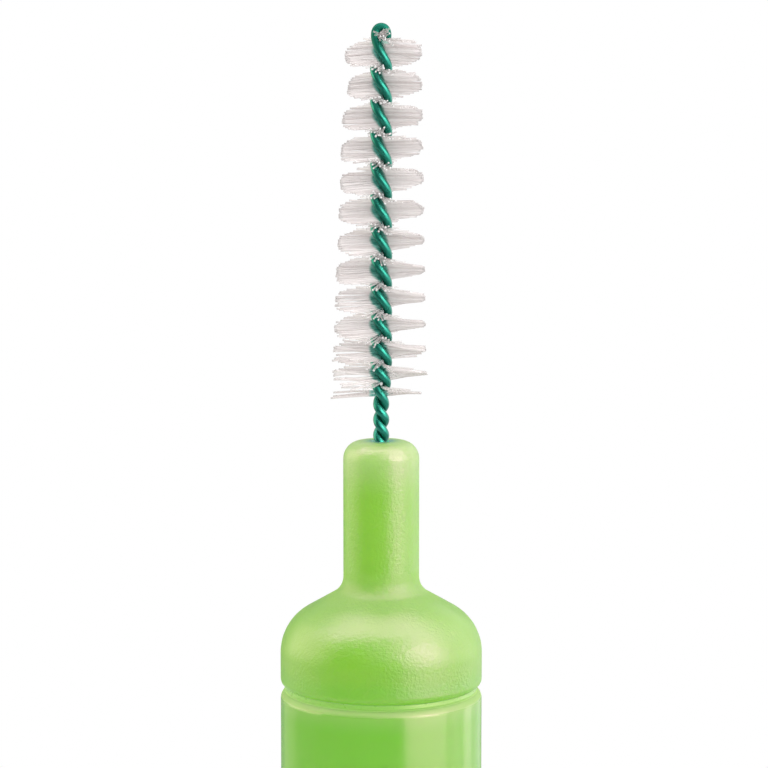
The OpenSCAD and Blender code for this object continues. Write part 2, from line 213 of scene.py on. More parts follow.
class Tree:
    """Adds nodes to one node tree and joins their sockets. Most methods return the new output."""

    def __init__(self, tree: bpy.types.NodeTree) -> None:
        """Starts on an empty tree."""
        self.tree = tree
        tree.nodes.clear()

    def add(
        self, kind: str, inputs: dict[str | int, object] | None = None, **settings: object
    ) -> bpy.types.Node:
        """Adds one node.

        Args:
            kind: the node's Blender type.
            inputs: for sockets by name or number, a value, or an output socket to join.
            settings: the node's own settings.

        Returns:
            The node.
        """
        node = self.tree.nodes.new(kind)
        for name, value in settings.items():
            setattr(node, name, value)
        for name, value in (inputs or {}).items():
            socket = node.inputs[name]
            if isinstance(value, bpy.types.NodeSocket):
                self.tree.links.new(value, socket)
            else:
                socket.default_value = rgba(value) if socket.type == "RGBA" else value
        return node

    def sum_of(self, operation: str, *values: object) -> bpy.types.NodeSocket:
        """Adds a Math node."""
        return self.add("ShaderNodeMath", dict(enumerate(values)), operation=operation).outputs[0]

    def mix(self, share: object, first: object, second: object) -> bpy.types.NodeSocket:
        """Adds a Mix node for numbers."""
        return self.add("ShaderNodeMix", {0: share, 2: first, 3: second}, data_type="FLOAT").outputs[0]

    def blend(self, share: object, first: object, second: object) -> bpy.types.NodeSocket:
        """Adds a Mix node for colours."""
        return self.add("ShaderNodeMix", {0: share, 6: first, 7: second}, data_type="RGBA").outputs[2]

    def spread(
        self, value: object, low: float, high: float, to_low: float, to_high: float
    ) -> bpy.types.NodeSocket:
        """Adds a clamped Map Range node from low..high to to_low..to_high."""
        return self.add("ShaderNodeMapRange", {0: value, 1: low, 2: high, 3: to_low, 4: to_high}).outputs[0]

    def noise(self, place: object, scale: object, detail: float, roughness: float) -> bpy.types.NodeSocket:
        """Adds a Noise Texture node."""
        inputs = {"Vector": place, "Scale": scale, "Detail": detail, "Roughness": roughness}
        return self.add("ShaderNodeTexNoise", inputs).outputs[0]

    def place(self) -> bpy.types.NodeSocket:
        """The Object coordinates, in metres."""
        return self.add("ShaderNodeTexCoord").outputs["Object"]

    def level(self) -> bpy.types.NodeSocket:
        """The height of the Object coordinates, in metres."""
        return self.add("ShaderNodeSeparateXYZ", {0: self.place()}).outputs[2]

    def axis_distance(self, shift: float = 0.0) -> bpy.types.NodeSocket:
        """Distance in metres from the brush's axis, or from a line beside it: the length of x and y of the
        Object coordinates.

        Args:
            shift: how far the line stands to the left of the axis, in millimetres.

        Returns:
            The distance's socket.
        """
        inputs = {0: self.place(), 1: (1.0, 1.0, 0.0), 2: (shift * MM, 0.0, 0.0)}
        flat = self.add("ShaderNodeVectorMath", inputs, operation="MULTIPLY_ADD").outputs[0]
        return self.add("ShaderNodeVectorMath", {0: flat}, operation="LENGTH").outputs["Value"]

    def within(self, distance: bpy.types.NodeSocket, near: float, far: float) -> bpy.types.NodeSocket:
        """1 up to the near distance, falling to 0 at the far one, both in millimetres."""
        return self.spread(distance, near * MM, far * MM, 1.0, 0.0)

    def effect(self, which: Effect, inputs: dict[str, object]) -> bpy.types.NodeSocket:
        """Adds a shared node group."""
        return self.add("ShaderNodeGroup", inputs, node_tree=bpy.data.node_groups[which.value]).outputs[0]

    def mark(self, which: Mark) -> bpy.types.NodeSocket:
        """The mesh's value of that name."""
        return self.add("ShaderNodeAttribute", attribute_name=which.value).outputs["Fac"]

    def uneven(
        self, grain: bpy.types.NodeSocket, middle: float, less: float, more: float
    ) -> bpy.types.NodeSocket:
        """Roughness that follows the grain's height, from the middle minus less to the middle plus more."""
        return self.spread(grain, GRAIN_LOW, GRAIN_HIGH, middle - less, middle + more)

    def bump(self, height: bpy.types.NodeSocket, distance: float) -> bpy.types.NodeSocket:
        """The normal of a surface of that height times the distance, in metres."""
        return self.add("ShaderNodeBump", {"Height": height, "Distance": distance}).outputs[0]

    def show(self, surface: bpy.types.Node) -> None:
        """Makes the shader the material's surface."""
        self.add("ShaderNodeOutputMaterial", {"Surface": surface.outputs[0]})


def new_group(
    which: Effect, inputs: dict[str, float | Colour], result: str, kind: SocketKind
) -> tuple[Tree, bpy.types.Node]:
    """Makes a shader node group with named inputs and one output, which is still to be joined.

    Args:
        which: the group.
        inputs: for each input its value, a number or a colour.
        result: the output's name.
        kind: the output's type.

    Returns:
        The group's tree and its input node.
    """
    tree = bpy.data.node_groups.new(which.value, "ShaderNodeTree")
    for label, value in inputs.items():
        coloured = isinstance(value, tuple)
        taken = SocketKind.COLOUR if coloured else SocketKind.NUMBER
        socket = tree.interface.new_socket(label, in_out="INPUT", socket_type=taken.value)
        socket.default_value = rgba(value) if coloured else value
    tree.interface.new_socket(result, in_out="OUTPUT", socket_type=kind.value)
    work = Tree(tree)
    return work, work.add("NodeGroupInput")


class EffectGroups:
    """Makes the shared node groups."""

    def build(self) -> None:
        """Makes every group."""
        self.grain()
        self.cloud()
        self.thin_edge()

    @staticmethod
    def grain() -> None:
        """Surface grain from 0 to 1: soft bumps of the given size in millimetres, with finer ones on them."""
        finer = 2.7
        work, given = new_group(Effect.GRAIN, {"Size": 0.2, "Fine share": 0.3}, "Height", SocketKind.NUMBER)
        place = work.place()
        scale = work.sum_of("DIVIDE", 1.0 / MM, given.outputs["Size"])
        broad = work.noise(place, scale, detail=1.0, roughness=0.45)
        fine = work.noise(place, work.sum_of("MULTIPLY", scale, finer), detail=2.0, roughness=0.55)
        work.add("NodeGroupOutput", {0: work.mix(given.outputs["Fine share"], broad, fine)})

    @staticmethod
    def cloud() -> None:
        """Milky colour: two colours in slow clouds, drawn out along the part as the plastic flowed."""
        flow = (1.0, 1.0, 0.35)
        inputs = {"Deep": WHITE, "Pale": WHITE, "Size": 2.0}
        work, given = new_group(Effect.CLOUD, inputs, "Colour", SocketKind.COLOUR)
        drawn = work.add("ShaderNodeVectorMath", {0: work.place(), 1: flow}, operation="MULTIPLY").outputs[0]
        scale = work.sum_of("DIVIDE", 1.0 / MM, given.outputs["Size"])
        mask = work.spread(work.noise(drawn, scale, detail=3.0, roughness=0.5), 0.35, 0.65, 0.0, 1.0)
        work.add("NodeGroupOutput", {0: work.blend(mask, given.outputs["Deep"], given.outputs["Pale"])})

    @staticmethod
    def thin_edge() -> None:
        """Mask of an edge at one height: 1 at the Level and falling to 0 over the Fade, downwards where
        that is positive and upwards where it is negative, both in millimetres."""
        work, given = new_group(Effect.EDGE, {"Level": 0.0, "Fade": 1.0}, "Mask", SocketKind.NUMBER)
        below = work.sum_of("SUBTRACT", given.outputs["Level"], work.sum_of("DIVIDE", work.level(), MM))
        share = work.sum_of("DIVIDE", below, given.outputs["Fade"])
        mask = work.add("ShaderNodeMapRange", {0: share, 3: 1.0, 4: 0.0}, interpolation_type="SMOOTHERSTEP")
        work.add("NodeGroupOutput", {0: mask.outputs[0]})


def new_material(name: str, shown: Colour) -> tuple[bpy.types.Material, Tree]:
    """Makes a material with an empty node tree.

    Args:
        name: the material's name.
        shown: its plain colour.

    Returns:
        The material and its tree.
    """
    material = bpy.data.materials.new(name)
    material.use_nodes = True
    material.diffuse_color = rgba(shown)
    return material, Tree(material.node_tree)


@dataclass(frozen=True)
class LevelEdge:
    """An edge where the surface differs, at one height, fading down, or up where the fade is negative. It
    takes a share of its colour, glows by its glow, and its wear is added to the roughness: the colour and
    the glow are painted light and shade, the wear is real roughness. Millimetres."""

    level: float
    fade: float
    share: float = 0.0
    # The default colour: a pale green, for painted light
    colour: Colour = (0.46, 0.63, 0.28)
    glow: float = 0.0
    wear: float = 0.0

    def mask(self, work: Tree) -> bpy.types.NodeSocket:
        """Adds the edge's mask, from 0 to 1."""
        return work.effect(Effect.EDGE, {"Level": self.level, "Fade": self.fade})


@dataclass(frozen=True)
class MouldedPlastic:
    """Milky moulded plastic: clouded colour, light that goes deep, a grain that fades where it is seen
    edge-on, edges at given heights that are painted lighter, darker or glowing as painted light and shade,
    or made rougher, one swell and one tinted ring round the axis. Lengths are in millimetres."""

    name: str
    deep: Colour
    pale: Colour
    roughness: float
    rough_change: float
    grain_size: float
    grain_height: float
    fine_share: float = 0.3
    ior: float = 1.6
    specular: float = 1.0
    specular_tint: Colour = (1.0, 0.51, 0.64)
    grain_fade_from: float = 0.45
    grain_fade_to: float = 0.75
    subsurface: float = 1.0
    depth: Colour = (2.4, 3.0, 1.4)
    cloud_size: float = 3.0
    edges: tuple[LevelEdge, ...] = ()
    # The colour of the edges' glow, which is painted light
    glow_colour: Colour = (0.20, 0.52, 0.06)
    swell: float = 0.0
    swell_middle: float = 0.0
    swell_reach: float = 1.0
    axis_tint: Colour | None = None
    axis_tint_from: float = 0.42
    axis_tint_to: float = 0.9
    axis_tint_above: float = 0.0
    axis_tint_rise: float = 0.2

    def material(self) -> bpy.types.Material:
        """Builds the material.

        Returns:
            The material.
        """
        material, work = new_material(self.name, self.deep)
        colour = work.effect(Effect.CLOUD, {"Deep": self.deep, "Pale": self.pale, "Size": self.cloud_size})
        grain = work.effect(Effect.GRAIN, {"Size": self.grain_size, "Fine share": self.fine_share})
        # The edges' glow and their share of colour are painted light and shade
        glow: object = 0.0
        worn: object = 0.0
        for edge in self.edges:
            mask = edge.mask(work)
            if edge.share > 0.0:
                colour = work.blend(work.sum_of("MULTIPLY", mask, edge.share), colour, edge.colour)
            if edge.glow > 0.0:
                glow = work.sum_of("MULTIPLY_ADD", mask, edge.glow, glow)
            if edge.wear != 0.0:
                worn = work.sum_of("MULTIPLY_ADD", mask, edge.wear, worn)
        if self.axis_tint is not None:
            colour = work.blend(self._axis_tint_mask(work), colour, self.axis_tint)
        rough = work.uneven(grain, self.roughness, self.rough_change, self.rough_change)
        edge_on = work.add("ShaderNodeLayerWeight").outputs["Facing"]
        raised = work.spread(
            edge_on, self.grain_fade_from, self.grain_fade_to, self.grain_height * MM, 0.0
        )
        height = work.sum_of("MULTIPLY_ADD", grain, raised, self._swell_height(work))
        shader = work.add(
            "ShaderNodeBsdfPrincipled",
            {
                "Base Color": colour,
                "Roughness": work.sum_of("ADD", rough, worn),
                "Normal": work.bump(height, 1.0),
                "IOR": self.ior,
                "Specular IOR Level": self.specular,
                "Specular Tint": self.specular_tint,
                "Subsurface Weight": self.subsurface,
                "Subsurface Radius": self.depth,
                "Subsurface Scale": MM,
                "Emission Color": work.blend(glow, BLACK, self.glow_colour),
                "Emission Strength": 1.0,
            },
        )
        work.show(shader)
        return material

    def _swell_height(self, work: Tree) -> bpy.types.NodeSocket:
        """A soft swell of the surface round one height, which rounds a straight slope: the swell times the
        square of (1 minus the square of the distance from the middle over the reach), and 0 past the reach.

        Args:
            work: the material's tree.

        Returns:
            The height's socket, in metres.
        """
        middle, reach = self.swell_middle * MM, self.swell_reach * MM
        off = work.spread(work.level(), middle - reach, middle + reach, -1.0, 1.0)
        rest = work.sum_of("SUBTRACT", 1.0, work.sum_of("MULTIPLY", off, off))
        return work.sum_of("MULTIPLY", work.sum_of("MULTIPLY", rest, rest), self.swell * MM)

    def _axis_tint_mask(self, work: Tree) -> bpy.types.NodeSocket:
        """A ring round the axis on the upper faces, which fades outwards.

        Args:
            work: the material's tree.

        Returns:
            The mask's socket.
        """
        near = work.within(work.axis_distance(), self.axis_tint_from, self.axis_tint_to)
        rise_from = (self.axis_tint_above - self.axis_tint_rise) * MM
        high = work.spread(work.level(), rise_from, self.axis_tint_above * MM, 0.0, 1.0)
        return work.sum_of("MULTIPLY", work.sum_of("MULTIPLY", near, near), high)


@dataclass(frozen=True)
class CoatedWireFinish:
    """Thin glossy green coating over steel wire, rougher and without its coat at the fold, where its
    colour is painted darker as painted shade. Millimetres.
    """

    name: str = "coated_wire"
    bright: Colour = (0.005, 0.205, 0.145)
    # Painted shade for the legs' inner sides, between the legs
    inner_shade: Colour = (0.0, 0.085, 0.055)
    mottle: float = 0.7
    inner_share: float = 0.85
    metallic: float = 0.85
    roughness: float = 0.30
    smoother: float = 0.06
    rougher: float = 0.08
    coat: float = 0.28
    coat_roughness: float = 0.22
    dent_size: float = 0.20
    dent_height: float = 0.003
    fine_share: float = 0.35
    # The fold's colour is painted shade on the loop's top
    fold: LevelEdge = LevelEdge(level=73.7, fade=0.9, colour=(0.002, 0.108, 0.072))
    fold_roughness: float = 0.6

    def material(self) -> bpy.types.Material:
        """Builds the material: painted shade on the side that faces the filaments and on the fold, with small
        dents.

        Returns:
            The material.
        """
        material, work = new_material(self.name, self.bright)
        fold = self.fold.mask(work)
        grain = work.effect(Effect.GRAIN, {"Size": self.dent_size, "Fine share": self.fine_share})
        mottled = work.blend(grain, self.bright, tuple(self.mottle * part for part in self.bright))
        # Painted shade on the inner side of each leg
        inner = work.sum_of("MULTIPLY", work.mark(Mark.INNER), self.inner_share)
        even = work.uneven(grain, self.roughness, self.smoother, self.rougher)
        shader = work.add(
            "ShaderNodeBsdfPrincipled",
            {
                "Base Color": work.blend(fold, work.blend(inner, mottled, self.inner_shade), self.fold.colour),
                "Metallic": self.metallic,
                "Roughness": work.mix(fold, even, self.fold_roughness),
                "Coat Weight": work.spread(fold, 0.0, 1.0, self.coat, 0.0),
                "Coat Roughness": self.coat_roughness,
                "Normal": work.bump(grain, self.dent_height * MM),
            },
        )
        work.show(shader)
        return material


@dataclass(frozen=True)
class NylonFinish:
    """Clear nylon filament, on which the wire's green is painted near the wire and in the loop's eye as a
    painted reflection, and whose cut ends catch the light. Lengths are in millimetres."""

    name: str = "nylon_filament"
    body: Colour = (0.965, 0.90, 0.888)
    shade: Colour = (0.71, 0.625, 0.61)
    # Painted shade: the darker rim by the cut, which draws the lobes' outlines
    rim: Colour = (0.64, 0.595, 0.585)
    end: Colour = (0.86, 0.85, 0.84)
    # Painted reflection: the wire's green, seen through the clear nylon near the wire
    root: Colour = (0.06, 0.42, 0.33)
    root_pale: Colour = (0.20, 0.56, 0.48)
    root_from: float = 0.20
    root_to: float = 0.31
    root_shift: float = 0.09
    # Towards the handle the painted green is darker and reaches further
    low: LevelEdge = LevelEdge(level=62.5, fade=-9.0, colour=(0.015, 0.23, 0.17))
    low_growth: float = 0.12
    # Painted reflection: the wire's green on the filaments in the loop's eye
    eye: LevelEdge = LevelEdge(level=73.45, fade=0.15, colour=(0.50, 0.80, 0.70))
    eye_from: float = 0.50
    eye_to: float = 0.62
    grain_size: float = 0.12
    roughness: float = 0.35
    rough_change: float = 0.08
    ior: float = 1.5
    clear: float = 0.08
    light_passed: float = 0.98
    seen_through: float = 0.22
    front_seen_through: float = 0.72

    def material(self) -> bpy.types.Material:
        """Builds the material from the filaments' own marks: a green root, which is the wire's painted
        reflection, a pale or shaded length, with the wire's painted reflection and a painted shade in the
        loop's eye, a darker rim by the cut, which is painted shade, and the cut end, which alone is never
        seen through.

        Returns:
            The material.
        """
        material, work = new_material(self.name, self.body)
        grain = work.effect(Effect.GRAIN, {"Size": self.grain_size})
        tone, end = work.mark(Mark.TONE), work.mark(Mark.END)
        # The loop's eye, where the filaments take the wire's green as a painted reflection
        eye = work.sum_of(
            "MULTIPLY", self.eye.mask(work), work.within(work.axis_distance(), self.eye_from, self.eye_to)
        )
        toned = work.blend(eye, work.blend(tone, self.body, self.shade), self.eye.colour)
        rimmed = work.blend(work.mark(Mark.RIM), self._with_wire_reflection(work, tone, toned), self.rim)
        shader = work.add(
            "ShaderNodeBsdfPrincipled",
            {
                "Base Color": work.blend(end, rimmed, work.blend(eye, self.end, self.eye.colour)),
                "Roughness": work.uneven(grain, self.roughness, self.rough_change, self.rough_change),
                "IOR": self.ior,
                "Transmission Weight": self.clear,
            },
        )
        path = work.add("ShaderNodeLightPath")
        unseen = work.sum_of("MAXIMUM", path.outputs["Is Shadow Ray"], path.outputs["Is Diffuse Ray"])
        clear = work.spread(work.mark(Mark.FRONT), 0.0, 1.0, self.seen_through, self.front_seen_through)
        passed = work.sum_of(
            "MAXIMUM",
            work.sum_of("MULTIPLY", unseen, self.light_passed),
            work.sum_of("MULTIPLY", work.sum_of("SUBTRACT", 1.0, end), clear),
        )
        through = work.add("ShaderNodeBsdfTransparent", {"Color": WHITE})
        work.show(work.add("ShaderNodeMixShader", {0: passed, 1: shader.outputs[0], 2: through.outputs[0]}))
        return material

    def _with_wire_reflection(
        self, work: Tree, tone: bpy.types.NodeSocket, toned: bpy.types.NodeSocket
    ) -> bpy.types.NodeSocket:
        """Adds the wire's green, painted on the filaments as a painted reflection: full near the wire, and
        fading out between the two root distances, which grow towards the handle, where the painted green is
        darker too.

        Args:
            work: the material's tree.
            tone: how pale a filament's green is.
            toned: the colour without the painted green.

        Returns:
            The colour's socket.
        """
        low = self.low.mask(work)
        green = work.blend(tone, work.blend(low, self.root, self.low.colour), self.root_pale)
        distance = work.axis_distance(self.root_shift)
        grown = work.sum_of("MULTIPLY_ADD", low, -self.low_growth * MM, distance)
        return work.blend(work.within(grown, self.root_from, self.root_to), toned, green)


# ---- The twist ----


@dataclass(frozen=True)
class Twist:
    """The left-handed double helix of the wire's legs, in half turns from the tip down. Millimetres."""

    neck_top: float = 57.85
    bare: float = 1.46
    loop_straight: float = 0.12
    tip_half_turn: float = 1.24
    base_half_turn: float = 0.78
    bare_half_turn: float = 0.62
    bristle_turns: int = 13
    hidden_turns: int = 10
    shorten_power: float = 2.6
    wire_radius: float = 0.170
    open_radius: float = 0.264
    bare_radius: float = 0.150
    closing_from: float = 11.3
    closing_to: float = 12.9

    @property
    def turns(self) -> int:
        """Number of half turns in all."""
        return self.bristle_turns + self.hidden_turns

    def lengths(self) -> np.ndarray:
        """Lengths of the half turns: tip length less the difference to the base times the share of the
        brush, raised to a power, and the bare length below the bristles.

        Returns:
            The lengths, from the tip down.
        """
        k = np.arange(self.turns + 1)
        share = np.minimum(k / (self.bristle_turns - 1), 1.0)
        grown = self.tip_half_turn - (self.tip_half_turn - self.base_half_turn) * share**self.shorten_power
        return np.where(k < self.bristle_turns, grown, self.bare_half_turn)

    def tops(self) -> np.ndarray:
        """Height of each half turn's top: the sums of the lengths below it, counted up from the neck.

        Returns:
            The heights, from the tip down.
        """
        lengths = self.lengths()
        top = self.neck_top + self.bare + lengths[: self.bristle_turns].sum()
        return top - np.concatenate([[0.0], np.cumsum(lengths)[:-1]])

    def height(self, h: np.ndarray) -> np.ndarray:
        """Height after h half turns, by straight lines between the half turns' tops."""
        return np.interp(h, np.arange(self.turns + 1), self.tops())

    @staticmethod
    def bearing(h: np.ndarray) -> np.ndarray:
        """Filaments' direction after h half turns, in radians from +X: a quarter turn and h half turns."""
        return np.pi * (0.5 + h)

    def leg_radius(self, h: np.ndarray) -> np.ndarray:
        """Distance of a leg's axis from the brush's axis, which closes softly at the bristles' lower end."""
        closing = smooth_step(h, self.closing_from, self.closing_to)
        return self.open_radius + (self.bare_radius - self.open_radius) * closing


@dataclass(frozen=True)
class CoreWire:
    """The folded and twisted wire: both legs and the loop at the tip in one swept tube. Millimetres."""

    twist: Twist
    finish: CoatedWireFinish = CoatedWireFinish()
    rings_per_half_turn: int = 26
    loop_rings: int = 28
    sides: int = 16
    seed: int = 11
    wobble: float = 0.012
    wobble_rings: int = 4
    ease_rings: int = 5
    ease_widths: int = 3
    inner_gain: float = 1.25
    inner_start: float = 0.15

    def path(self) -> tuple[np.ndarray, np.ndarray]:
        """The wire's axis and its outward directions.

        A leg after h half turns stands at the leg radius, a quarter turn from the filaments' direction, at
        the twist's height. The loop is a half circle of the open radius in the plane of the first leg
        direction.

        Returns:
            The points and the outward directions, each rings by 3.
        """
        twist = self.twist
        h = np.linspace(0.0, twist.turns, twist.turns * self.rings_per_half_turn + 1)
        bearing = twist.bearing(h) + np.pi / 2.0
        radial = np.stack([np.cos(bearing), np.sin(bearing), np.zeros_like(h)], axis=-1)
        leg = radial * twist.leg_radius(h)[:, None]
        leg[:, 2] = twist.height(h)
        arc = np.linspace(0.0, np.pi, self.loop_rings + 1)
        loop_out = np.cos(arc)[:, None] * radial[0] + np.sin(arc)[:, None] * UP
        loop = twist.open_radius * loop_out + UP * (twist.tops()[0] + twist.loop_straight)
        other = leg * np.array([-1.0, -1.0, 1.0])
        points = np.concatenate([leg[::-1], loop, other])
        out = np.concatenate([radial[::-1], loop_out, -radial])
        return self.eased(points), out

    def eased(self, points: np.ndarray) -> np.ndarray:
        """Rounds the bends where the loop meets the legs: near the loop each point is the bell-shaped mean
        of its neighbours, and further down the legs the path is left as it is.

        Args:
            points: the wire's axis.

        Returns:
            The eased axis.
        """
        reach = self.ease_widths * self.ease_rings
        bell = np.exp(-0.5 * (np.arange(-reach, reach + 1) / self.ease_rings) ** 2)
        bell /= bell.sum()
        padded = np.pad(points, ((reach, reach), (0, 0)), mode="edge")
        mean = np.stack([np.convolve(padded[:, axis], bell, mode="valid") for axis in range(3)], axis=-1)
        from_middle = np.abs(np.arange(len(points)) - (len(points) - 1) / 2.0)
        loop_end, turn = self.loop_rings / 2, self.rings_per_half_turn
        near = 1.0 - smooth_step(from_middle, loop_end + turn / 2, loop_end + turn)
        return points + (mean - points) * near[:, None]

    def build(self) -> bpy.types.Object:
        """Makes the wire: the tube's radius wavers a little, as where filaments have pressed on the coating.

        Returns:
            The wire's object.
        """
        points, out = self.path()
        dice = np.random.default_rng(self.seed)
        knots = dice.uniform(-1.0, 1.0, len(points) // self.wobble_rings + 2)
        waver = np.interp(np.arange(len(points)), self.wobble_rings * np.arange(len(knots)), knots)
        radii = self.twist.wire_radius * (1.0 + self.wobble * waver)
        rings, angle = swept_tubes(points[None], out[None], radii[None], self.sides)
        # The inner mark, where the wire takes a painted shade: the side of each leg that faces the axis
        inner = np.clip(-np.cos(angle) * self.inner_gain + self.inner_start, 0.0, 1.0)
        marks = {Mark.INNER: np.broadcast_to(inner, rings.shape[1:3])}
        surface = Surface(rings.reshape(-1, 3), tube_faces(1, len(points), self.sides), marks)
        piece = surface.build("twisted_wire", self.finish.material())
        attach(piece, Body.HEAD.value)
        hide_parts("core_wire")
        LOG.info("%s: %d rings, %d faces", piece.name, len(points), len(piece.data.polygons))
        return piece


@dataclass(frozen=True)
class BristleFan:
    """The nylon filaments of one half turn. Each runs straight through the gap between the legs and fans
    out on both sides. Millimetres and degrees."""

    number: int
    twist: Twist
    row_height: float = 0.054
    row_start: float = 0.25
    middle_drop: float = 0.5
    column_step: float = 0.064
    diameter: float = 0.070
    thickness_change: float = 0.06
    straight: float = 0.34
    tip_reach: float = 1.49
    base_reach: float = 1.92
    shift_tip: float = 0.09
    shift_base: float = -0.10
    reach_change: float = 0.012
    wander_share: float = 0.7
    swing: float = 1.8
    rise: float = 0.022
    front_rise: float = 0.10
    front_calm: float = 0.5
    facing_from: float = 0.88
    facing_to: float = 0.97
    bow: float = 0.012
    tilt_left: float = 0.09
    tilt_right: float = 0.0
    lean: float = 11.0
    lean_left: float = 0.25
    lean_front: float = 0.8
    lean_change: float = 3.0
    clump: float = 0.15
    clump_size: int = 4
    keep: float = 1.0
    first_share: float = -1.0
    last_share: float = 1.0
    eye_rows: int = 0
    eye_height: float = 0.04
    eye_end: float = 0.1
    eye_swing: float = 15.0
    eye_spread: float = 1.8
    sides: int = 6
    rim_width: float = 0.12
    rim_from: float = 0.5
    rim_to: float = 0.9
    end_round: float = 0.02
    end_share: float = 1.1
    side_end: float = 0.1
    front_end: float = 1.0
    end_power: float = 6.0
    tone_power: float = 1.5
    crowd: float = 0.15
    drawn_right: float = 0.0
    trimmed_left: float = 0.0
    seed: int = 500

    @property
    def name(self) -> str:
        """The fan's name, which counts from the tip."""
        return f"filaments_{self.number + 1:02d}"

    def roots(self, dice: np.random.Generator) -> tuple[np.ndarray, np.ndarray, np.ndarray]:
        """Where the filaments cross the wire's axis: rows of three columns, the middle one half a row
        lower, and more rows above the first half turn, in the eye of the loop. The rows crowd towards the
        half turn's ends: each place is moved back by the crowd share times the sine of its angle in the
        half turn. Of the places between the first and the last share of the half turn, a random part is
        kept.

        Args:
            dice: the fan's own random numbers.

        Returns:
            The half turns at each root, its place across the gap, and its lift above that half turn's height.
        """
        rows = round(self.twist.lengths()[self.number] / self.row_height)
        row, column = np.meshgrid(np.arange(-self.eye_rows, rows), np.array([-1, 0, 1]), indexing="ij")
        step = ((row + self.row_start + self.middle_drop * (column == 0)) / rows).ravel()
        step = step - self.crowd * np.sin(2.0 * np.pi * np.maximum(step, 0.0)) / (2.0 * np.pi)
        kept = (dice.random(step.size) < self.keep) & (step >= self.first_share) & (step < self.last_share)
        step, side = step[kept], column.ravel()[kept] * self.column_step
        order = np.argsort(step)
        lift = np.maximum(-step, 0.0) * rows / max(self.eye_rows, 1) * self.eye_height
        return self.number + np.maximum(step, 0.0)[order], side[order], lift[order]

    def reach(self, place: np.ndarray, bearing: np.ndarray) -> np.ndarray:
        """Distance of a filament's end from the axis: the trimmed envelope grows towards the handle, and
        leans from right to left, by the shift times the cosine of the bearing.

        Args:
            place: half turns at the roots.
            bearing: directions of the ends in radians.

        Returns:
            The distances.
        """
        share = place / self.twist.bristle_turns
        mean = self.tip_reach + (self.base_reach - self.tip_reach) * share
        shift = self.shift_tip + (self.shift_base - self.shift_tip) * share
        return mean + shift * np.cos(bearing) + self.trimmed_left * np.minimum(np.cos(bearing), 0.0)

    def facing(self, bearing: np.ndarray) -> np.ndarray:
        """How nearly a filament lies along the Y axis: a soft rise on the size of the bearing's sine."""
        return smooth_step(np.abs(np.sin(bearing)), self.facing_from, self.facing_to)

    def wander(self, dice: np.random.Generator, group: np.ndarray) -> np.ndarray:
        """Random numbers round 0, one part of them each filament's own and one part its clump's."""
        own = self.wander_share * dice.normal(size=len(group))
        return own + self.wander_share * dice.normal(size=group.max() + 1)[group]

    def half(
        self, place: np.ndarray, side: np.ndarray, lift: np.ndarray, facing: int, dice: np.random.Generator
    ) -> np.ndarray:
        """Centre lines of one half of each filament, from the axis out.

        A filament runs straight through the gap. Past that, with f its share of the rest: the bearing turns
        by its swing times f, the height changes by its rise and its tilt times f and by its bow times f
        squared, and both draw towards the middle of its clump by the clump share times f. The swing is a
        random part, less the lean times the sine of twice the bearing: the brush has been pressed a little
        flat in its pack, most on its left and its front. What lies along the Y axis swings less, and rises
        or sinks more. The right side can be drawn together.

        Args:
            place: half turns at the roots.
            side: places across the gap.
            lift: heights above the half turn's own.
            facing: 0 for the first half, 1 for the opposite one.
            dice: the fan's own random numbers.

        Returns:
            The points, filaments by rings by 3.
        """
        count = len(place)
        bearing = self.twist.bearing(place) + np.pi * facing
        front = self.facing(bearing)
        across, ahead = np.cos(bearing), np.sin(bearing)
        group = np.arange(count) // self.clump_size
        centre = np.bincount(group, bearing) / np.bincount(group)
        height = self.twist.height(place) + lift
        centre_height = np.bincount(group, height) / np.bincount(group)
        most = np.radians(np.where(lift > 0.0, self.eye_swing, self.swing))
        swing = most * self.wander(dice, group) * (1.0 - self.front_calm * front)
        lean = self.lean * (1.0 - self.lean_left * across) * (1.0 - self.lean_front * ahead)
        lean += self.lean_change * dice.normal()
        swing -= np.radians(lean) * np.sin(2.0 * bearing) * (1.0 - front)
        rise = self.rise * self.wander(dice, group)
        spread = self.front_rise * np.where(lift > 0.0, self.eye_spread, 1.0)
        rise += spread * front * dice.uniform(-1.0, 1.0, count)
        bow = self.bow * dice.normal(size=count)
        reach = self.reach(place, bearing) * (1.0 - self.reach_change * np.abs(dice.normal(size=count)))
        stops = np.stack(
            [
                np.zeros(count),
                np.full(count, self.straight),
                (self.straight + reach) / 2.0,
                reach - self.rim_width,
                reach - self.end_round,
                reach,
            ],
            axis=-1,
        )
        share = np.clip((stops - self.straight) / (reach - self.straight)[:, None], 0.0, 1.0)
        pull = self.clump * share
        turned = bearing[:, None] + swing[:, None] * share + pull * (centre[group] - bearing)[:, None]
        tilt = across * np.where(across < 0.0, self.tilt_left, self.tilt_right)
        z = (
            height[:, None]
            + (rise * reach + tilt)[:, None] * share
            + bow[:, None] * share**2
            + pull * (centre_height[group] - height)[:, None]
        )
        if np.cos(bearing.mean()) > 0.0:
            drawn = self.drawn_right * (1.0 - front)[:, None] * share
            turned = turned + drawn * (bearing.mean() - turned)
            z = z + drawn * (height.mean() - z)
        turn_side = (side * (1 if facing == 0 else -1))[:, None]
        x = stops * np.cos(turned) - turn_side * ahead[:, None]
        y = stops * np.sin(turned) + turn_side * across[:, None]
        return np.stack([x, y, z], axis=-1)

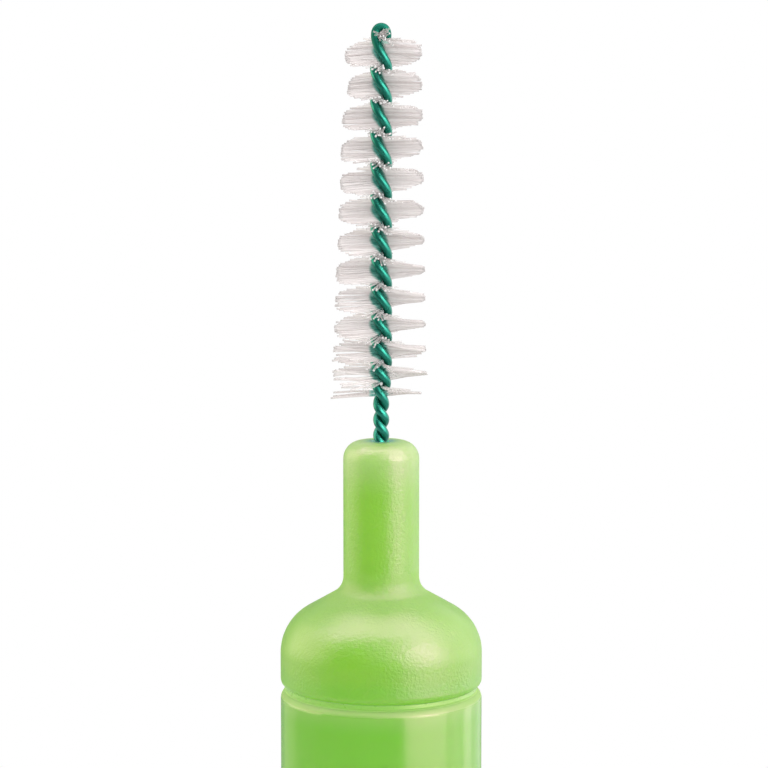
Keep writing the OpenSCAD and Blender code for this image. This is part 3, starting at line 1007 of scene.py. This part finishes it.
    def marks(
        self, place: np.ndarray, lift: np.ndarray, rings: int, tone: np.ndarray
    ) -> dict[Mark, np.ndarray]:
        """The marks for the filaments' material: a cut end that shows the more, the nearer the filament
        points at the viewer, a rim by the cut on what points sideways, which carries a painted shade, the
        tone, and how nearly the filament faces front.

        Args:
            place: half turns at the roots.
            lift: heights above the half turn's own.
            rings: rings of a filament.
            tone: a random number for each filament.

        Returns:
            For each mark its values, filaments by rings by points of a ring.
        """
        bearing = self.twist.bearing(place)
        facing = self.facing(bearing)
        in_eye = lift > 0.0
        end, rim = np.zeros((2, len(place), rings))
        shown = self.side_end + (self.front_end - self.side_end) * facing**self.end_power
        end[:, [0, -1]] = (shown * np.where(in_eye, self.eye_end, 1.0))[:, None]
        # The rim mark, for painted shade by the cut of filaments that point sideways
        rim[:, [1, -2]] = (1.0 - smooth_step(np.abs(np.sin(bearing)), self.rim_from, self.rim_to))[:, None]
        # In the loop's eye every filament takes the full shade colour, a painted shade
        shade = np.where(in_eye, 1.0, tone**self.tone_power)
        values = {Mark.END: end, Mark.RIM: rim, Mark.TONE: shade[:, None], Mark.FRONT: facing[:, None]}
        shape = (len(place), rings, self.sides)
        return {mark: np.broadcast_to(value[:, :, None], shape) for mark, value in values.items()}

    def surface(self) -> Surface:
        """All filaments of the fan as closed tubes with their material's marks.

        Returns:
            The surface.
        """
        dice = np.random.default_rng(self.seed + self.number)
        place, side, lift = self.roots(dice)
        first = self.half(place, side, lift, 0, dice)
        second = self.half(place, side, lift, 1, dice)
        paths = np.concatenate([second[:, :0:-1], first], axis=1)
        count, rings = paths.shape[:2]
        taper = np.ones(rings)
        taper[[0, -1]] = self.end_share
        thickness = self.diameter / 2.0 * (1.0 + self.thickness_change * dice.normal(size=count))
        hints = np.broadcast_to(UP, paths.shape)
        points, _ = swept_tubes(paths, hints, thickness[:, None] * taper, self.sides)
        marks = self.marks(place, lift, rings, dice.random(count))
        return Surface(points.reshape(-1, 3), tube_faces(count, rings, self.sides), marks)

    def build(self, material: bpy.types.Material) -> None:
        """Makes the fan's object in place of its CAD node.

        Args:
            material: the filaments' finish.
        """
        piece = self.surface().build(self.name, material)
        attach(piece, Body.HEAD.value)
        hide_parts(f"bristle_turn_{self.number + 1:02d}")
        LOG.info("%s: %d faces", piece.name, len(piece.data.polygons))


@dataclass(frozen=True)
class BristleBrush:
    """The brush's thirteen fans. The first has the loop's eye, and the last three are sparse and ragged.
    From the tip down the full ones grow more clumped, and further down thinner and with duller ends."""

    twist: Twist
    finish: NylonFinish = NylonFinish()
    ragged_fans: int = 3
    second_trim: float = 0.18
    clump_tip: float = 0.12
    clump_growth: float = 0.035
    thinning: float = 0.035
    thin_from: int = 4
    dulling: float = 0.12
    dull_from: int = 5
    tilt: float = 0.03
    tilt_from: int = 3
    drawn: dict[int, float] = field(default_factory=lambda: {6: 0.2, 7: 0.45, 8: 0.5, 9: 0.35})

    def full_fan(self, k: int) -> BristleFan:
        """The full fan of that number, which isn't the first.

        Args:
            k: the fan's number, counted from 0 at the tip.

        Returns:
            The fan.
        """
        return BristleFan(
            k,
            self.twist,
            drawn_right=self.drawn.get(k, 0.0),
            trimmed_left=self.second_trim if k == 1 else 0.0,
            tilt_right=self.tilt if k >= self.tilt_from else 0.0,
            clump=self.clump_tip + self.clump_growth * k,
            keep=1.0 - self.thinning * max(k - self.thin_from, 0),
            front_end=1.0 - self.dulling * max(k - self.dull_from, 0),
        )

    def fans(self) -> list[BristleFan]:
        """The fans from the tip down.

        Returns:
            The fans.
        """
        full = self.twist.bristle_turns - self.ragged_fans
        first = BristleFan(
            0,
            self.twist,
            eye_rows=6,
            lean=15.0,
            lean_left=-0.3,
            lean_change=0.0,
            rise=0.04,
            reach_change=0.03,
        )
        ragged = BristleFan(
            full,
            self.twist,
            swing=5.0,
            front_rise=0.03,
            front_calm=0.9,
            rise=0.05,
            bow=0.04,
            clump=0.6,
            reach_change=0.05,
            diameter=0.078,
        )
        return [
            first,
            *(self.full_fan(k) for k in range(1, full)),
            replace(ragged, keep=0.85, drawn_right=0.55, front_end=0.5),
            replace(ragged, number=full + 1, keep=0.75, last_share=0.93, drawn_right=0.8, front_end=0.35),
            replace(
                ragged,
                number=full + 2,
                keep=0.42,
                first_share=0.06,
                last_share=0.62,
                drawn_right=0.7,
                front_end=0.12,
            ),
        ]

    def build(self) -> None:
        """Makes every fan."""
        material = self.finish.material()
        for fan in self.fans():
            fan.build(material)


# ---- The moulded parts ----


@dataclass(frozen=True)
class MouldedParts:
    """The rigid CAD nodes of one body, which keep their shape and take a finish each."""

    body: Body
    finishes: dict[str, MouldedPlastic]
    mirrored: bool = True

    def dress(self) -> None:
        """Puts each finish on its node, and sets whether the node shows in glossy surfaces."""
        made: dict[str, bpy.types.Material] = {}
        for node, finish in self.finishes.items():
            if finish.name not in made:
                made[finish.name] = finish.material()
            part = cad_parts[node]
            for slot in part.material_slots:
                slot.material = made[finish.name]
            part.visible_glossy = self.mirrored
            LOG.info("%s on %s: %s", node, self.body.value, finish.name)


FROSTED = MouldedPlastic(
    name="frosted_shell",
    deep=(0.203, 0.548, 0.005),
    pale=(0.230, 0.570, 0.009),
    roughness=0.37,
    rough_change=0.05,
    grain_size=0.125,
    grain_height=0.024,
    specular_tint=(1.0, 0.46, 0.78),
    edges=(
        # Painted light: paler towards the neck's top
        LevelEdge(level=57.6, fade=2.2, share=0.5),
        LevelEdge(level=51.75, fade=0.35, wear=0.17),
        LevelEdge(level=52.9, fade=0.35, wear=-0.17),
        # Painted shade: darker towards the skirt's bottom edge
        LevelEdge(level=48.3, fade=-1.0, share=0.8, colour=(0.165, 0.548, 0.005)),
        # Painted light: the skirt's bottom edge paler and glowing, against the groove's shade
        LevelEdge(level=48.08, fade=-0.12, share=0.3, glow=0.12),
    ),
    swell=0.07,
    swell_middle=51.42,
    swell_reach=0.46,
    axis_tint=(0.03, 0.42, 0.24),
    axis_tint_above=57.6,
)
# Painted light: a colour lighter than the shell's and the barrel's, and a glow, lift the groove's shade
COLLAR = MouldedPlastic(
    name="collar_plastic",
    deep=(0.26, 0.62, 0.08),
    pale=(0.28, 0.64, 0.09),
    roughness=0.3,
    rough_change=0.04,
    grain_size=0.2,
    grain_height=0.004,
    subsurface=0.5,
    depth=(0.3, 0.4, 0.2),
    edges=(LevelEdge(level=48.2, fade=0.5, glow=0.15),),
)
GLOSSY = MouldedPlastic(
    name="glossy_barrel",
    deep=(0.180, 0.575, 0.028),
    pale=(0.198, 0.595, 0.036),
    roughness=0.22,
    rough_change=0.03,
    grain_size=0.35,
    grain_height=0.0025,
    cloud_size=4.0,
    glow_colour=(0.30, 0.50, 0.10),
    edges=(
        # Painted light: paler towards the barrel's top edge
        LevelEdge(level=47.75, fade=1.0, share=0.2),
        LevelEdge(level=47.75, fade=0.15, wear=0.36),
        LevelEdge(level=47.90, fade=0.08, wear=0.22),
        # Painted light: paler and glowing at the barrel's very top, in the gap under the collar where shade
        # falls
        LevelEdge(level=47.88, fade=0.04, share=0.4, glow=0.32),
    ),
)


# ---- Studio and camera ----


@dataclass(frozen=True)
class SoftBox:
    """A rectangular lamp that faces the brush. Bearing is in degrees from the viewer towards +X, rise in
    degrees above the aim, lengths in metres."""

    name: str
    bearing: float
    rise: float
    distance: float
    width: float
    tall: float
    radiance: float
    use: LampUse = LampUse.GLOSS
    colour: Colour = WHITE
    aim_height: float = 0.045

    def hang(self, only: bpy.types.Object | None = None) -> None:
        """Makes the lamp. Its power is pi times its radiance and its area.

        Args:
            only: the one piece that it lights, or None where it lights all.
        """
        bearing, rise = math.radians(self.bearing), math.radians(self.rise)
        flat = math.cos(rise)
        back = Vector((math.sin(bearing) * flat, -math.cos(bearing) * flat, math.sin(rise)))
        lamp = bpy.data.lights.new(self.name, "AREA")
        lamp.shape = "RECTANGLE"
        lamp.size, lamp.size_y = self.width, self.tall
        lamp.energy = math.pi * self.radiance * self.width * self.tall
        lamp.color = self.colour
        hung = bpy.data.objects.new(self.name, lamp)
        hung.location = Vector((0.0, 0.0, self.aim_height)) + back * self.distance
        hung.rotation_mode = "QUATERNION"
        hung.rotation_quaternion = (-back).to_track_quat("-Z", "Y")
        hung.visible_camera = False
        hung.visible_diffuse = self.use is LampUse.ALL
        bpy.context.scene.collection.objects.link(hung)
        if only is not None:
            receivers = bpy.data.collections.new(self.name)
            receivers.objects.link(only)
            hung.light_linking.receiver_collection = receivers
        LOG.info("lamp %s: radiance %.2f", self.name, self.radiance)


# The lamp that lights the wire alone
WIRE_GLINT = SoftBox("wire_glint", 24.0, 16.0, 0.50, 0.28, 0.25, 2.8)


@dataclass(frozen=True)
class Studio:
    """Soft lamps, a white surround and a pale round floor. Metres."""

    lamps: tuple[SoftBox, ...] = (
        SoftBox("window_right", 50.0, 42.0, 0.50, 0.32, 0.32, 1.6, LampUse.ALL),
        SoftBox("key_right", 53.7, 10.0, 0.50, 0.53, 0.60, 2.9),
        SoftBox("spot_right", 57.0, 21.0, 0.48, 0.22, 0.30, 4.2),
        SoftBox("fill_right", 93.0, 8.0, 0.52, 0.19, 0.60, 1.7),
        SoftBox("back_right", 116.0, 8.0, 0.50, 0.17, 0.60, 2.4),
        SoftBox("rear_right", 142.0, 8.0, 0.50, 0.28, 0.60, 0.8),
        SoftBox("back_left", -130.0, 0.0, 0.50, 0.30, 0.50, 0.55, colour=(0.9, 1.0, 0.6)),
        SoftBox("left", -100.0, 16.0, 0.50, 0.54, 0.45, 2.4, colour=(0.95, 1.0, 0.75)),
        SoftBox("overhead", 180.0, 91.0, 0.45, 1.00, 0.36, 4.4),
        SoftBox("back_high", 180.0, 38.0, 0.50, 0.95, 0.30, 0.6),
        SoftBox("front_high", 16.0, 36.0, 0.50, 0.50, 0.44, 0.9),
    )
    ambient: float = 0.96
    front_gloss: float = 0.25
    back_gloss: float = 0.50
    gloss_side: tuple[float, float, float] = (0.6, 0.8, 0.0)
    gloss_from: float = -0.2
    gloss_to: float = 0.95
    floor_radius: float = 0.16
    floor_rings: int = 24
    floor_sides: int = 96
    floor_colour: Colour = (0.86, 0.86, 0.855)
    fade_from: float = 0.45
    fade_to: float = 0.98

    def world(self) -> None:
        """Builds the surround: white to the camera and through clear pieces, brighter behind than in front
        to glossy rays, and an even grey to all others."""
        world = bpy.data.worlds.new("surround")
        world.use_nodes = True
        bpy.context.scene.world = world
        work = Tree(world.node_tree)
        path = work.add("ShaderNodeLightPath")
        way = work.add("ShaderNodeTexCoord").outputs["Generated"]
        side = work.add("ShaderNodeVectorMath", {0: way, 1: self.gloss_side}, operation="DOT_PRODUCT")
        gloss = work.spread(
            side.outputs["Value"], self.gloss_from, self.gloss_to, self.front_gloss, self.back_gloss
        )
        seen = work.sum_of("MAXIMUM", path.outputs["Is Camera Ray"], path.outputs["Is Transmission Ray"])
        level = work.mix(path.outputs["Is Glossy Ray"], self.ambient, gloss)
        light = work.add("ShaderNodeBackground", {"Color": WHITE, "Strength": work.mix(seen, level, 1.0)})
        work.add("ShaderNodeOutputWorld", {"Surface": light.outputs[0]})

    def floor(self) -> None:
        """Makes the round floor: rings at equal steps of radius round the middle, level at height 0."""
        radius = np.linspace(0.0, self.floor_radius / MM, self.floor_rings + 1)[1:]
        angle = 2.0 * np.pi * np.arange(self.floor_sides) / self.floor_sides
        ring = np.stack([np.cos(angle), np.sin(angle), np.zeros_like(angle)], axis=-1)
        points = np.concatenate([np.zeros((1, 3)), (radius[:, None, None] * ring).reshape(-1, 3)])
        count = self.floor_rings * self.floor_sides
        number = 1 + np.arange(count).reshape(self.floor_rings, self.floor_sides)
        turned = np.roll(number, -1, axis=1)
        quads = np.stack([number[:-1], number[1:], turned[1:], turned[:-1]], axis=-1).reshape(-1, 4)
        middle = np.stack([np.zeros(self.floor_sides, int), number[0], turned[0]], axis=-1)
        surface = Surface(points, quads.tolist() + middle.tolist())
        piece = surface.build("studio_floor", self.floor_material())

    def floor_material(self) -> bpy.types.Material:
        """A pale matt floor that fades into the white surround towards its rim.

        Returns:
            The material.
        """
        material, work = new_material("pale_floor", self.floor_colour)
        radius = work.add("ShaderNodeVectorMath", {0: work.place()}, operation="LENGTH").outputs["Value"]
        fade = work.spread(
            radius, self.fade_from * self.floor_radius, self.fade_to * self.floor_radius, 0.0, 1.0
        )
        matt = work.add("ShaderNodeBsdfDiffuse", {"Color": self.floor_colour})
        glow = work.add("ShaderNodeEmission", {"Color": WHITE, "Strength": 1.0})
        work.show(work.add("ShaderNodeMixShader", {0: fade, 1: matt.outputs[0], 2: glow.outputs[0]}))
        return material

    def build(self) -> None:
        """Sets up the whole studio."""
        self.world()
        self.floor()
        for lamp in self.lamps:
            lamp.hang()


@dataclass(frozen=True)
class PhotoCamera:
    """The photograph's camera. Lengths in metres, the focal length in the photograph's pixels."""

    focal_pixels: float = 2690.0
    place: tuple[float, float, float] = (0.00011, -0.105, 0.07247)
    tilt_down: float = 6.72
    near: float = 0.001
    far: float = 10.0

    def build(self) -> None:
        """Makes the camera, looking along +Y and tilted down."""
        data = bpy.data.cameras.new("photo_camera")
        data.sensor_width = SENSOR
        data.lens = self.focal_pixels * SENSOR / PHOTO_SIDE
        data.clip_start, data.clip_end = self.near, self.far
        camera = bpy.data.objects.new("photo_camera", data)
        camera.location = self.place
        camera.rotation_euler = (math.radians(90.0 - self.tilt_down), 0.0, 0.0)
        bpy.context.scene.collection.objects.link(camera)
        bpy.context.scene.camera = camera


def main() -> None:
    """Builds the studio and the brush."""
    logging.basicConfig(level=logging.INFO, format="%(name)s %(message)s")
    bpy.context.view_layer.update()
    scene = bpy.context.scene
    scene.view_settings.view_transform = "Standard"
    PhotoCamera().build()
    Studio().build()
    EffectGroups().build()
    twist = Twist()
    MouldedParts(Body.HANDLE, {"handle_barrel": GLOSSY, "tail_plug": GLOSSY}).dress()
    MouldedParts(Body.HEAD, {"head_shell": FROSTED, "head_core": COLLAR}, mirrored=False).dress()
    wire = CoreWire(twist).build()
    WIRE_GLINT.hang(only=wire)
    BristleBrush(twist).build()


if __name__ == "__main__":
    main()
